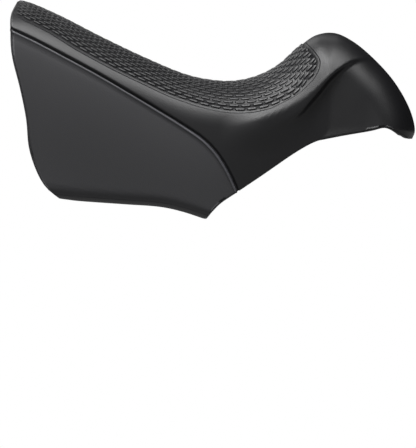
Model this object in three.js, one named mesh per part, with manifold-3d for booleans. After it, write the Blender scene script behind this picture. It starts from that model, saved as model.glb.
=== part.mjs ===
// Rubber grip hood for a road bike brake lever, right-hand side, as one moulded sleeve.
// The bracket fills it from the rear opening, and the lever comes out of the open front and underside.
// Units are mm: +X to the nose, +Z up, +Y to the left of the rider, and it rests on its underside strap.
import * as THREE from 'three';
import Module from 'manifold-3d';

const { lerp, smoothstep } = THREE.MathUtils;

// Overall size, without the rubber that the flat lands lose
const LENGTH = 118.4;
const HEIGHT = 57.7;

// Side view as [x, z] at the size it was read from the photograph, turned until the strap lies level
const DRAWN_LENGTH = 118.2;
const DRAWN_HEIGHT = 57.5;
const CROWN = [
  [-58.1, 54.2], [-54.9, 54.0], [-46.0, 51.6], [-33.3, 47.2], [-20.0, 43.0], [-8.0, 39.9],
  [-1.0, 39.3], [6.0, 39.9], [12.5, 42.3], [18.0, 46.2], [23.2, 52.3], [27.5, 56.2],
  [32.5, 57.5], [38.0, 55.9], [45.6, 51.1], [52.0, 45.4], [57.2, 38.2], [59.05, 33.0], [58.6, 30.8],
];
const REAR_RIM = [
  [-58.1, 54.2], [-59.1, 50.5], [-58.7, 46.1], [-57.4, 39.0], [-53.6, 29.2],
  [-50.8, 21.0], [-48.9, 13.0], [-45.4, 6.1], [-42.2, 2.3], [-38.5, 0.0],
];
const SOLE = [[-38.5, 0.0], [-31.9, 0.3], [-20.0, 1.1], [-9.5, 1.75], [-3.5, 1.3], [3.8, 0.0]];
const FRONT_RIM = [
  [3.8, 0.0], [6.6, 4.4], [11.7, 9.1], [18.2, 14.9], [27.3, 23.1], [31.8, 26.3],
  [37.0, 28.3], [46.6, 31.4], [50.0, 32.7], [51.4, 32.7], [55.3, 31.2], [57.2, 30.5], [58.6, 30.8],
];
const GROOVE = [
  [-58.7, 46.1], [-51.4, 43.8], [-41.7, 40.3], [-32.1, 36.7], [-22.6, 32.8], [-13.2, 28.8], [-5.4, 25.3],
  [-0.8, 23.0], [2.0, 21.1], [4.6, 18.8], [6.9, 16.2], [8.9, 13.5], [10.5, 11.0], [11.7, 9.1],
];
const CREASE = [
  [2.0, 25.5], [10.0, 26.0], [17.0, 27.4], [23.7, 30.7], [26.8, 33.5], [28.9, 36.7],
  [31.1, 40.0], [33.4, 43.8], [36.5, 47.4], [39.7, 49.9], [43.0, 51.0],
];

// Half-widths across the hood, and how deep the top and the strap are rounded
const REAR_HALF_WIDTH = 16.8;
const SADDLE_HALF_WIDTH = 14.8;
const HUMP_HALF_WIDTH = 12.6;
const SADDLE_ROUNDING = 13.0;
const HUMP_ROUNDING = 9.6;
const STRAP_ROUNDING = 6.0;
const INNER_ROUNDING = 6.0;
const STRAP_FULLNESS = 3.0;
const SIDE_TAPER = 0.42;

// Rubber thickness, groove, crease and rims
const SIDE_WALL = 2.0;
const TOP_WALL = 2.8;
const GROOVE_HALF_WIDTH = 0.45;
const GROOVE_DEPTH = 0.85;
const LIP = 0.5;
const SADDLE_SWELL = 1.5;
const HUMP_SWELL = 2.3;
const CREASE_DEPTH = 1.0;
const CREASE_WIDTH = 1.1;
const RIM_RADIUS = 0.6;

// Flat lands at the two ends of the strap, where the hood rests
const LAND_DEPTH = 0.2;

// Tabs inside the side walls that hold the hood in the bracket's recesses, centres as [x, z]
const TABS = [[-30.0, 24.0], [0.0, 29.0]];
const TAB_LENGTH = 7.0;
const TAB_HEIGHT = 3.0;
const TAB_REACH = 1.6;
const TAB_SINK = 1.0;

// Steps along the curves, and columns and rows of the mesh
const LINE_STEPS = 240;
const RIB_STEPS = 48;
const GROOVE_COLUMNS = 22;
const FRONT_COLUMNS = 26;
const SKIN_ROWS = 11;
const PANEL_ROWS = 11;

// The groove's floor, as distance across it and depth, in half-widths and groove depths
const GROOVE_FLOOR = [[-0.55, 0.85], [0.55, 1.0], [1.0, 0.3]];

// Which point of the crown faces which point of the skin's lower edge, as fractions of their lengths
const RIB_PAIRS = [[0, 0], [0.5, 0.515], [0.64, 0.68], [0.7, 0.8], [0.78, 0.87], [0.84, 0.92], [1, 1]];

// A drawn point at the part's real size
const point = ([x, z]) => new THREE.Vector3(x * LENGTH / DRAWN_LENGTH, 0, z * HEIGHT / DRAWN_HEIGHT);

// A smooth curve through side-view points, with its running length
function trace(points) {
  const curve = new THREE.CatmullRomCurve3(points.map(point), false, 'centripetal');
  return measure(curve.getPoints(LINE_STEPS));
}

// A run of points with the length from its start to each of them
function measure(dots) {
  const lengths = [0];
  for (let i = 1; i < dots.length; i++) {
    lengths.push(lengths[i - 1] + dots[i].distanceTo(dots[i - 1]));
  }
  return { dots, lengths, length: lengths[lengths.length - 1] };
}

// The point at a fraction of a line's length
function along(line, fraction) {
  const target = line.length * THREE.MathUtils.clamp(fraction, 0, 1);
  let i = 1;
  while (i < line.dots.length - 1 && line.lengths[i] < target) i++;
  const step = line.lengths[i] - line.lengths[i - 1];
  return line.dots[i - 1].clone().lerp(line.dots[i], (target - line.lengths[i - 1]) / step);
}

// Both ends of a line carried straight on, so that distances to it stay smooth past its ends
function extend(line, reach) {
  const { dots } = line;
  const end = dots.length - 1;
  const before = dots[0].clone().sub(dots[1]).setLength(reach).add(dots[0]);
  const after = dots[end].clone().sub(dots[end - 1]).setLength(reach).add(dots[end]);
  return measure([before, ...dots, after]);
}

// The nearest point of a line: how far it is, at what fraction, and on which side
function nearest(line, p) {
  let best = { gap: Infinity };
  for (let i = 1; i < line.dots.length; i++) {
    const a = line.dots[i - 1];
    const run = line.dots[i].clone().sub(a);
    const off = p.clone().sub(a);
    const t = THREE.MathUtils.clamp(off.dot(run) / run.lengthSq(), 0, 1);
    const gap = off.addScaledVector(run, -t).length();
    if (gap < best.gap) {
      const side = Math.sign(run.x * (p.z - a.z) - run.z * (p.x - a.x));
      best = { gap, side, fraction: (line.lengths[i - 1] + t * run.length()) / line.length };
    }
  }
  return best;
}

const flat = (p) => new THREE.Vector3(p.x, 0, p.z);
const crown = trace(CROWN);
const crownReach = extend(crown, 12);
const soleReach = extend(trace(SOLE), 12);
const crease = trace(CREASE);

// The base of the hump swells out above the crease, and the side sinks in below it. The crease is
// crisp under the hump and soft towards the saddle, and the inner face leaves it out
function relief(p, below) {
  const { gap, side } = nearest(crease, p);
  const under = -side * gap;
  const soft = smoothstep(under, -2, 7);
  const crisp = smoothstep(under, -CREASE_WIDTH, 0.1);
  const lower = lerp(soft, crisp, smoothstep(p.x, 18, 32));
  const swell = lerp(SADDLE_SWELL, HUMP_SWELL, smoothstep(p.x, 10, 40));
  const ends = smoothstep(p.x, 4, 17) * (1 - smoothstep(p.x, 42, 50));
  const depth = CREASE_DEPTH * smoothstep(p.x, 16, 34) * (1 - 0.75 * smoothstep(p.x, 44, 56));
  return {
    out: swell * Math.min(Math.max((below - 3) / 8, 0), 1.1) ** 2 * (1 - lower) * ends,
    sink: depth * lower * (1 - 0.25 * smoothstep(under, 0, 10)),
    smoothSink: depth * smoothstep(under, -7, 0),
  };
}

// Half the width of the hood at a point of the side view, and of the smooth form inside it
function widths(p) {
  const rearToSaddle = lerp(REAR_HALF_WIDTH, SADDLE_HALF_WIDTH, smoothstep(p.x, -45, -5));
  const side = lerp(rearToSaddle, HUMP_HALF_WIDTH, smoothstep(p.x, 5, 35));
  const rounding = lerp(SADDLE_ROUNDING, HUMP_ROUNDING, smoothstep(p.x, 4, 44));
  const below = nearest(crownReach, p).gap;
  const above = nearest(soleReach, p).gap;
  const top = Math.sqrt(1 - (1 - Math.min(below / rounding, 1)) ** 2);
  const [bottom, inside] = [STRAP_ROUNDING, INNER_ROUNDING].map((reach) => {
    return (1 - (1 - Math.min(above / reach, 1)) ** STRAP_FULLNESS) ** (1 / STRAP_FULLNESS);
  });
  const taper = 1 - SIDE_TAPER * smoothstep(below, lerp(13, 7, smoothstep(p.x, 0, 40)), 58);
  const { out, sink, smoothSink } = relief(p, below);
  return {
    outer: ((side * taper - sink) * top + out) * bottom,
    core: (side * taper - smoothSink) * top * inside,
  };
}

// A side-view point carried out to the surface on the camera's side, y < 0
const onSurface = (p) => new THREE.Vector3(p.x, -widths(p).outer, p.z);

// Points along a rib at even steps over the curved surface
function rib(path, rows) {
  const dots = [];
  for (let i = 0; i <= RIB_STEPS; i++) {
    const s = i / RIB_STEPS;
    dots.push(onSurface(path(s * s * (3 - 2 * s))));
  }
  const line = measure(dots);
  if (line.length === 0) return Array.from({ length: rows + 1 }, () => dots[0].clone());
  return Array.from({ length: rows + 1 }, (_, row) => onSurface(flat(along(line, row / rows))));
}

// The groove's line moved sideways in the side view, with its ends kept on the two rims
function grooveEdge(shift) {
  const line = trace(GROOVE);
  const rear = trace(REAR_RIM);
  const front = trace(FRONT_RIM);
  const dots = [];
  for (let i = 0; i <= LINE_STEPS; i++) {
    const f = i / LINE_STEPS;
    const run = along(line, f + 0.004).sub(along(line, f - 0.004));
    const across = new THREE.Vector3(run.z, 0, -run.x).setLength(shift);
    dots.push(along(line, f).add(across));
  }
  const start = nearest(rear, point(GROOVE[0])).fraction;
  const end = nearest(front, point(GROOVE[GROOVE.length - 1])).fraction;
  dots[0] = along(rear, start + shift / rear.length);
  dots[LINE_STEPS] = along(front, end - shift / front.length);
  return measure(dots);
}

// The stretch of a line from one fraction of its length to another
function cut(line, from, to) {
  return measure(Array.from({ length: LINE_STEPS + 1 }, (_, i) => along(line, lerp(from, to, i / LINE_STEPS))));
}

// A point of a four-sided patch: top and bottom lines run forward, rear and front lines run down
function patch(top, bottom, rear, front, u, v) {
  const a = along(top, u).lerp(along(bottom, u), v);
  const bendRear = along(rear, v).sub(along(top, 0).lerp(along(bottom, 0), v));
  const bendFront = along(front, v).sub(along(top, 1).lerp(along(bottom, 1), v));
  return a.addScaledVector(bendRear, (1 - u) ** 3).addScaledVector(bendFront, u ** 3);
}

// The fraction of the crown that faces a fraction of the skin's lower edge
function paired(fraction) {
  let i = 1;
  while (i < RIB_PAIRS.length - 1 && RIB_PAIRS[i][1] < fraction) i++;
  const [[a, p], [b, q]] = [RIB_PAIRS[i - 1], RIB_PAIRS[i]];
  return lerp(a, b, (fraction - p) / (q - p));
}

// Columns of vertices from the crown to the strap, for the half of the hood that faces the camera
function outerColumns() {
  const rear = trace(REAR_RIM);
  const front = trace(FRONT_RIM);
  const skinEdge = grooveEdge(-GROOVE_HALF_WIDTH);
  const panelEdge = grooveEdge(GROOVE_HALF_WIDTH + LIP);
  const onRear = (p) => nearest(rear, p).fraction;
  const onFront = (p) => nearest(front, p).fraction;
  const skinEnd = onFront(along(skinEdge, 1));
  const noseRim = cut(front, skinEnd, 1);
  const skinLower = measure([...skinEdge.dots, ...noseRim.dots.slice(1)]);
  const corner = skinEdge.length / skinLower.length;
  const skinRear = cut(rear, 0, onRear(along(skinEdge, 0)));
  const panelRear = cut(rear, onRear(along(panelEdge, 0)), 1);
  const panelFront = cut(front, onFront(along(panelEdge, 1)), 0);
  const sole = trace(SOLE);
  const rimInSpace = measure(noseRim.dots.map(onSurface));
  const grooveFloor = GROOVE_FLOOR.map(([across, depth]) => ({
    line: grooveEdge(across * GROOVE_HALF_WIDTH),
    depth: depth * GROOVE_DEPTH,
  }));
  const columns = [];
  for (let c = 0; c <= GROOVE_COLUMNS + FRONT_COLUMNS; c++) {
    let f = corner * c / GROOVE_COLUMNS;
    if (c > GROOVE_COLUMNS) {
      const onRim = flat(along(rimInSpace, (c - GROOVE_COLUMNS) / FRONT_COLUMNS));
      f = lerp(corner, 1, nearest(noseRim, onRim).fraction);
    }
    const top = along(crown, paired(f));
    const low = c === GROOVE_COLUMNS + FRONT_COLUMNS ? top.clone() : along(skinLower, f);
    const bend = (v) => along(skinRear, v).sub(along(skinRear, 0).lerp(along(skinRear, 1), v));
    const fade = Math.max(0, 1 - f / 0.1) ** 2;
    const skin = rib((v) => top.clone().lerp(low, v).addScaledVector(bend(v), fade), SKIN_ROWS);
    const column = { skin };
    if (c <= GROOVE_COLUMNS) {
      const u = c / GROOVE_COLUMNS;
      column.groove = grooveFloor.map(({ line, depth }) => ({ at: onSurface(along(line, u)), depth }));
      column.panel = rib((v) => patch(panelEdge, sole, panelRear, panelFront, u, v), PANEL_ROWS);
    }
    columns.push(column);
  }
  return columns;
}

// The outer surface: vertices with their sinking, and triangles, for both sides of the hood
function outerSurface() {
  const vertices = [];
  const faces = [];
  const seen = new Map();
  const sinks = [];
  const add = (at, sink = 0) => {
    const key = `${at.x.toFixed(4)},${at.y.toFixed(4)},${at.z.toFixed(4)}`;
    if (!seen.has(key)) {
      seen.set(key, vertices.length);
      vertices.push(at);
      sinks.push(sink);
    }
    return seen.get(key);
  };
  const face = (a, b, c) => {
    if (a !== b && b !== c && c !== a) faces.push([a, b, c]);
  };
  const columns = outerColumns();
  for (const side of [-1, 1]) {
    const put = (at, sink) => add(new THREE.Vector3(at.x, side * Math.abs(at.y), at.z), sink);
    const ids = columns.map(({ skin, groove = [], panel = [] }) => [
      ...skin.map((at, row) => put(row === 0 ? flat(at) : at)),
      ...groove.map(({ at, depth }) => put(at, depth)),
      ...panel.map((at, row) => put(row === PANEL_ROWS ? flat(at) : at)),
    ]);
    for (let c = 1; c < ids.length; c++) {
      const rows = Math.min(ids[c - 1].length, ids[c].length);
      for (let r = 1; r < rows; r++) {
        const [a, b, d, e] = [ids[c - 1][r - 1], ids[c][r - 1], ids[c - 1][r], ids[c][r]];
        if (side < 0) {
          face(a, d, b);
          face(b, d, e);
        } else {
          face(a, b, d);
          face(b, e, d);
        }
      }
    }
  }
  return { vertices, sinks, faces };
}

// Vertex normals of a triangle list
function normalsOf(vertices, faces) {
  const normals = vertices.map(() => new THREE.Vector3());
  for (const [a, b, c] of faces) {
    const ab = vertices[b].clone().sub(vertices[a]);
    const ac = vertices[c].clone().sub(vertices[a]);
    const n = ab.cross(ac);
    for (const i of [a, b, c]) normals[i].add(n);
  }
  return normals.map((n) => n.normalize());
}

// The open edges of a triangle list, chained into loops
function openLoops(faces) {
  const next = new Map();
  const edges = new Set(faces.flatMap(([a, b, c]) => [`${a},${b}`, `${b},${c}`, `${c},${a}`]));
  for (const edge of edges) {
    const [a, b] = edge.split(',').map(Number);
    if (!edges.has(`${b},${a}`)) next.set(a, b);
  }
  const loops = [];
  while (next.size) {
    const loop = [];
    let i = next.keys().next().value;
    while (next.has(i)) {
      loop.push(i);
      const following = next.get(i);
      next.delete(i);
      i = following;
    }
    loops.push(loop);
  }
  return loops;
}

// The closed sleeve: outer surface, inner surface one wall further in, and rounded rims between
function sleeve() {
  const { vertices, sinks, faces } = outerSurface();
  const normals = normalsOf(vertices, faces);
  const count = vertices.length;
  const core = vertices.map((p) => {
    return new THREE.Vector3(p.x, Math.sign(p.y) * widths(flat(p)).core, p.z);
  });
  const coreNormals = normalsOf(core, faces);
  const wall = vertices.map((p) => {
    const below = nearest(crownReach, flat(p)).gap;
    return lerp(TOP_WALL, SIDE_WALL, smoothstep(below, 4, 10));
  });
  const out = vertices.map((p, i) => p.clone().addScaledVector(normals[i], -sinks[i]));
  const inner = core.map((p, i) => p.clone().addScaledVector(coreNormals[i], -wall[i]));
  const points = [...out, ...inner];
  const triangles = [...faces, ...faces.map(([a, b, c]) => [a + count, c + count, b + count])];
  for (const loop of openLoops(faces)) {
    const rings = loop.map((i, k) => {
      const before = vertices[loop[(k + loop.length - 1) % loop.length]];
      const after = vertices[loop[(k + 1) % loop.length]];
      const outward = after.clone().sub(before).cross(normals[i]).normalize();
      const step = (back, deep, start = vertices[i], normal = normals[i]) => start.clone()
        .addScaledVector(outward, -back * RIM_RADIUS)
        .addScaledVector(normal, -deep);
      const top = sinks[i];
      points[i] = step(1, top);
      points[i + count] = step(1, wall[i], core[i], coreNormals[i]);
      const deeps = [[0.3, top + 0.3 * RIM_RADIUS], [0, top + RIM_RADIUS]];
      const lows = [[0, wall[i] - RIM_RADIUS], [0.3, wall[i] - 0.3 * RIM_RADIUS]];
      const first = points.length;
      for (const [back, deep] of deeps) points.push(step(back, deep));
      for (const [back, deep] of lows) points.push(step(back, deep, core[i], coreNormals[i]));
      return [i, first, first + 1, first + 2, first + 3, i + count];
    });
    for (let k = 0; k < rings.length; k++) {
      const here = rings[k];
      const there = rings[(k + 1) % rings.length];
      for (let r = 1; r < here.length; r++) {
        triangles.push([here[r - 1], here[r], there[r - 1]]);
        triangles.push([there[r - 1], here[r], there[r]]);
      }
    }
  }
  return { points, triangles };
}

const wasm = await Module();
wasm.setup();

// A closed triangle list as a solid for cutting and joining
function toManifold(points, triangles) {
  return new wasm.Manifold(new wasm.Mesh({
    numProp: 3,
    vertProperties: new Float32Array(points.flatMap((p) => [p.x, p.y, p.z])),
    triVerts: new Uint32Array(triangles.flat()),
  }));
}

// A box solid centred on a point
function block(length, width, height, x, y, z) {
  const box = new THREE.BoxGeometry(length, width, height).translate(x, y, z);
  const at = box.getAttribute('position');
  const seen = new Map();
  const points = [];
  const index = [];
  for (const i of box.getIndex().array) {
    const p = new THREE.Vector3().fromBufferAttribute(at, i);
    const key = p.toArray().join(',');
    if (!seen.has(key)) {
      seen.set(key, points.length);
      points.push(p);
    }
    index.push(seen.get(key));
  }
  const triangles = [];
  for (let i = 0; i < index.length; i += 3) triangles.push(index.slice(i, i + 3));
  return toManifold(points, triangles);
}

const { points, triangles } = sleeve();
let hood = toManifold(points, triangles);

// Tabs stand on the inner face of each side wall
for (const { x, z } of TABS.map(point)) {
  const innerFace = widths(new THREE.Vector3(x, 0, z)).core - SIDE_WALL;
  for (const side of [-1, 1]) {
    const y = side * (innerFace + (TAB_SINK - TAB_REACH) / 2);
    hood = hood.add(block(TAB_LENGTH, TAB_REACH + TAB_SINK, TAB_HEIGHT, x, y, z));
  }
}

// Everything below the resting plane is taken off, which leaves a flat land at each end of the strap
hood = hood.subtract(block(2 * LENGTH, LENGTH, HEIGHT, 0, 0, LAND_DEPTH - HEIGHT / 2));

const shape = hood.getMesh();
const geometry = new THREE.BufferGeometry();
geometry.setAttribute('position', new THREE.BufferAttribute(new Float32Array(shape.vertProperties), 3));
geometry.setIndex(new THREE.BufferAttribute(new Uint32Array(shape.triVerts), 1));
geometry.translate(0, 0, -LAND_DEPTH);
geometry.computeVertexNormals();

const rubber = new THREE.MeshStandardMaterial({ color: 0x2b2b2d, roughness: 0.6, metalness: 0 });
const mesh = new THREE.Mesh(geometry, rubber);
mesh.name = 'hood';

const group = new THREE.Group();
group.name = 'brake_lever_hood';
group.add(mesh);

export default group;
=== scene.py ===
"""Looks of a moulded rubber grip hood for a road bike brake lever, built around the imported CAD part.

The sleeve follows the same side-view curves and half-width rule as the part's source, on a finer mesh and
with a tighter corner along the strap. The raised pads of the grip are laid over its top as real geometry.
Lengths are in mm until a mesh is made.
"""

from __future__ import annotations

import logging
import math
from dataclasses import dataclass, field
from enum import Enum

import bpy
import numpy as np
from mathutils import Matrix, Vector

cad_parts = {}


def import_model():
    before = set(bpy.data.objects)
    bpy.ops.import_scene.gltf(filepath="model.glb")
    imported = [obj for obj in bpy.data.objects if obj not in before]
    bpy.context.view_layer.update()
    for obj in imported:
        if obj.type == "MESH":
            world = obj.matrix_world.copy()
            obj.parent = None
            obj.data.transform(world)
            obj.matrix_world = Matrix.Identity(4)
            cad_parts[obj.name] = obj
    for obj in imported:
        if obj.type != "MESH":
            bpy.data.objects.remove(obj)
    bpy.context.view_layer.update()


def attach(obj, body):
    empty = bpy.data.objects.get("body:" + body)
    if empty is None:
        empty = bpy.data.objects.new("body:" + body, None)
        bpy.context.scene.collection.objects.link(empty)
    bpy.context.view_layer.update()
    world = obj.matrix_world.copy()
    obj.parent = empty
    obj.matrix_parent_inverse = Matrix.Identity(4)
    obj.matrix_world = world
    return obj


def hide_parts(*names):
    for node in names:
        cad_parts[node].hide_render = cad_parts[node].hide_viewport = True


LOG = logging.getLogger("hood")
MM = 0.001
# How far the crown and the sole are carried on past their ends, in mm
PAST_ENDS = 12.0
# Lengths below which a curve or a direction counts as none
NO_LENGTH, NO_SIZE = 1e-9, 1e-12
# Points measured against a curve at a time, which bounds the memory this takes
NEAREST_BLOCK = 20000
# Values kept on the inner face and the rims, where neither the patch nor the hem shows
NO_BORDER_MM, NO_HEM_MM = -9.0, 99.0

# Overall size, and the size at which the side view was drawn, as in the part's source
LENGTH, HEIGHT = 118.4, 57.7
DRAWN_LENGTH, DRAWN_HEIGHT = 118.2, 57.5

# Side view as (x, z) in mm, the same points as in the part's source
CROWN = (
    (-58.1, 54.2), (-54.9, 54.0), (-46.0, 51.6), (-33.3, 47.2), (-20.0, 43.0), (-8.0, 39.9),
    (-1.0, 39.3), (6.0, 39.9), (12.5, 42.3), (18.0, 46.2), (23.2, 52.3), (27.5, 56.2),
    (32.5, 57.5), (38.0, 55.9), (45.6, 51.1), (52.0, 45.4), (57.2, 38.2), (59.05, 33.0), (58.6, 30.8),
)
REAR_RIM = (
    (-58.1, 54.2), (-59.1, 50.5), (-58.7, 46.1), (-57.4, 39.0), (-53.6, 29.2),
    (-50.8, 21.0), (-48.9, 13.0), (-45.4, 6.1), (-42.2, 2.3), (-38.5, 0.0),
)
SOLE = ((-38.5, 0.0), (-31.9, 0.3), (-20.0, 1.1), (-9.5, 1.75), (-3.5, 1.3), (3.8, 0.0))
FRONT_RIM = (
    (3.8, 0.0), (6.6, 4.4), (11.7, 9.1), (18.2, 14.9), (27.3, 23.1), (31.8, 26.3),
    (37.0, 28.3), (46.6, 31.4), (50.0, 32.7), (51.4, 32.7), (55.3, 31.2), (57.2, 30.5), (58.6, 30.8),
)
GROOVE = (
    (-58.7, 46.1), (-51.4, 43.8), (-41.7, 40.3), (-32.1, 36.7), (-22.6, 32.8), (-13.2, 28.8), (-5.4, 25.3),
    (-0.8, 23.0), (2.0, 21.1), (4.6, 18.8), (6.9, 16.2), (8.9, 13.5), (10.5, 11.0), (11.7, 9.1),
)
CREASE = (
    (2.0, 25.5), (10.0, 26.0), (17.0, 27.4), (23.7, 30.7), (26.8, 33.5), (28.9, 36.7),
    (31.1, 40.0), (33.4, 43.8), (36.5, 47.4), (39.7, 49.9), (43.0, 51.0),
)
# Which point of the crown faces which point of the skin's lower edge, as fractions of their lengths
RIB_PAIRS = ((0, 0), (0.5, 0.515), (0.64, 0.68), (0.7, 0.8), (0.78, 0.87), (0.84, 0.92), (1, 1))

# How deep the textured patch reaches below the crown, as (mm along the crown, mm in the side view)
PATCH_DEPTH = (
    (0.0, 3.75), (4.0, 4.6), (12.0, 4.9), (21.0, 5.7), (33.0, 6.15), (44.5, 6.4),
    (54.6, 6.9), (62.5, 7.9), (69.7, 8.9), (75.0, 9.4), (81.0, 9.4), (93.0, 9.0),
)
# Where along the crown the patch's front end takes over from its lower edge, in mm
PATCH_FRONT_START = 74.0
# Pieces that the front end is cut into, how many of them are skipped so that it meets the lower edge in a
# round corner, and how many mm the lower edge is carried on past the rear
PATCH_FRONT_STEPS, PATCH_FRONT_SKIPPED, PATCH_PAST_REAR = 60, 6, 3
# The patch's front end in the side view, from its lower edge up to the crown
PATCH_FRONT = ((18.8, 34.9), (25.2, 40.4), (28.6, 45.4), (29.0, 48.7), (27.2, 51.0), (23.9, 53.6))


def smoothstep(value: np.ndarray, low: float, high: float) -> np.ndarray:
    """Smooth ramp from 0 at low to 1 at high."""
    t = np.clip((value - low) / (high - low), 0.0, 1.0)
    return t * t * (3.0 - 2.0 * t)


def mix(a: np.ndarray | float, b: np.ndarray | float, share: np.ndarray | float) -> np.ndarray | float:
    """Value that lies a share of the way from a to b."""
    return a + (b - a) * share


def drawn(points: tuple) -> np.ndarray:
    """Side-view points at the part's real size."""
    return np.asarray(points, float) * [LENGTH / DRAWN_LENGTH, HEIGHT / DRAWN_HEIGHT]


def linear(code: str) -> tuple[float, float, float, float]:
    """Linear RGBA of an sRGB hex colour such as 2b2b2d."""
    channels = [int(code[i:i + 2], 16) / 255 for i in (0, 2, 4)]
    return (*(c / 12.92 if c <= 0.04045 else ((c + 0.055) / 1.055) ** 2.4 for c in channels), 1.0)


class Curve:
    """A run of side-view or space points that can be read by the share of its length.

    Args:
        dots: the points, one row each.
    """

    def __init__(self, dots: np.ndarray) -> None:
        """Keep the points and the length up to each of them."""
        self.dots = np.asarray(dots, float)
        self.runs = np.r_[0.0, np.cumsum(np.linalg.norm(np.diff(self.dots, axis=0), axis=1))]
        self.length = float(self.runs[-1])

    @classmethod
    def through(cls, points: tuple[tuple[float, float], ...], steps: int = 240) -> Curve:
        """Centripetal spline through points.

        Args:
            points: the points it passes.
            steps: how many straight pieces it is cut into.

        Returns:
            The curve.
        """
        p = drawn(points)
        p = np.vstack([2 * p[0] - p[1], p, 2 * p[-1] - p[-2]])
        t = np.linspace(0, len(points) - 1, steps + 1)
        k = np.minimum(t.astype(int), len(points) - 2)
        w = (t - k)[:, None]
        x0, x1, x2, x3 = (p[k + i] for i in range(4))
        gaps = ((x0, x1), (x1, x2), (x2, x3))
        d0, d1, d2 = (np.sqrt(np.linalg.norm(b - a, axis=1))[:, None] for a, b in gaps)
        t1 = ((x1 - x0) / d0 - (x2 - x0) / (d0 + d1) + (x2 - x1) / d1) * d1
        t2 = ((x2 - x1) / d1 - (x3 - x1) / (d1 + d2) + (x3 - x2) / d2) * d1
        cubic = x1 + t1 * w + (3 * (x2 - x1) - 2 * t1 - t2) * w**2 + (2 * (x1 - x2) + t1 + t2) * w**3
        return cls(cubic)

    def at(self, shares: np.ndarray | float) -> np.ndarray:
        """Points at these shares of the length."""
        target = np.clip(shares, 0.0, 1.0) * self.length
        columns = [np.interp(target, self.runs, self.dots[:, i]) for i in range(self.dots.shape[1])]
        return np.stack(columns, axis=-1)

    def extended(self, reach: float) -> Curve:
        """The curve carried straight on at both ends.

        Args:
            reach: how far.

        Returns:
            The longer curve.
        """
        first = self.dots[0] - self.dots[1]
        last = self.dots[-1] - self.dots[-2]
        before = self.dots[0] + first / np.linalg.norm(first) * reach
        after = self.dots[-1] + last / np.linalg.norm(last) * reach
        return Curve(np.vstack([before, self.dots, after]))

    def stretch(self, start: float, end: float, steps: int = 240) -> Curve:
        """The part of the curve between two shares of its length."""
        return Curve(self.at(np.linspace(start, end, steps + 1)))

    def right_of(self, shares: np.ndarray, step: float = 0.004) -> np.ndarray:
        """Unit side-view directions to the right of the run.

        Args:
            shares: where along the curve.
            step: share of the length before and after, between which the run is measured.

        Returns:
            One direction for each share.
        """
        run = self.at(shares + step) - self.at(shares - step)
        across = np.stack([run[:, 1], -run[:, 0]], 1)
        return across / np.linalg.norm(across, axis=1)[:, None]

    def nearest(self, points: np.ndarray) -> tuple[np.ndarray, np.ndarray, np.ndarray]:
        """Nearest point of the curve to each of the given points.

        Args:
            points: side-view points, in any array shape that ends in 2.

        Returns:
            Distance, side (positive on the left of the run) and share of the length.
        """
        flat = points.reshape(-1, 2)
        a, run = self.dots[:-1], np.diff(self.dots, axis=0)
        size = np.maximum((run**2).sum(1), NO_SIZE)
        gap, side, share = (np.empty(len(flat)) for _ in range(3))
        for start in range(0, len(flat), NEAREST_BLOCK):
            block = slice(start, start + NEAREST_BLOCK)
            off = flat[block, None, :] - a[None]
            t = np.clip((off * run[None]).sum(2) / size, 0.0, 1.0)
            distance = np.linalg.norm(off - t[..., None] * run[None], axis=2)
            k = distance.argmin(1)
            rows = np.arange(len(k))
            gap[block] = distance[rows, k]
            cross = run[k, 0] * off[rows, k, 1] - run[k, 1] * off[rows, k, 0]
            side[block] = np.sign(cross)
            share[block] = (self.runs[k] + t[rows, k] * np.sqrt(size[k])) / self.length
        shape = points.shape[:-1]
        return gap.reshape(shape), side.reshape(shape), share.reshape(shape)


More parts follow.
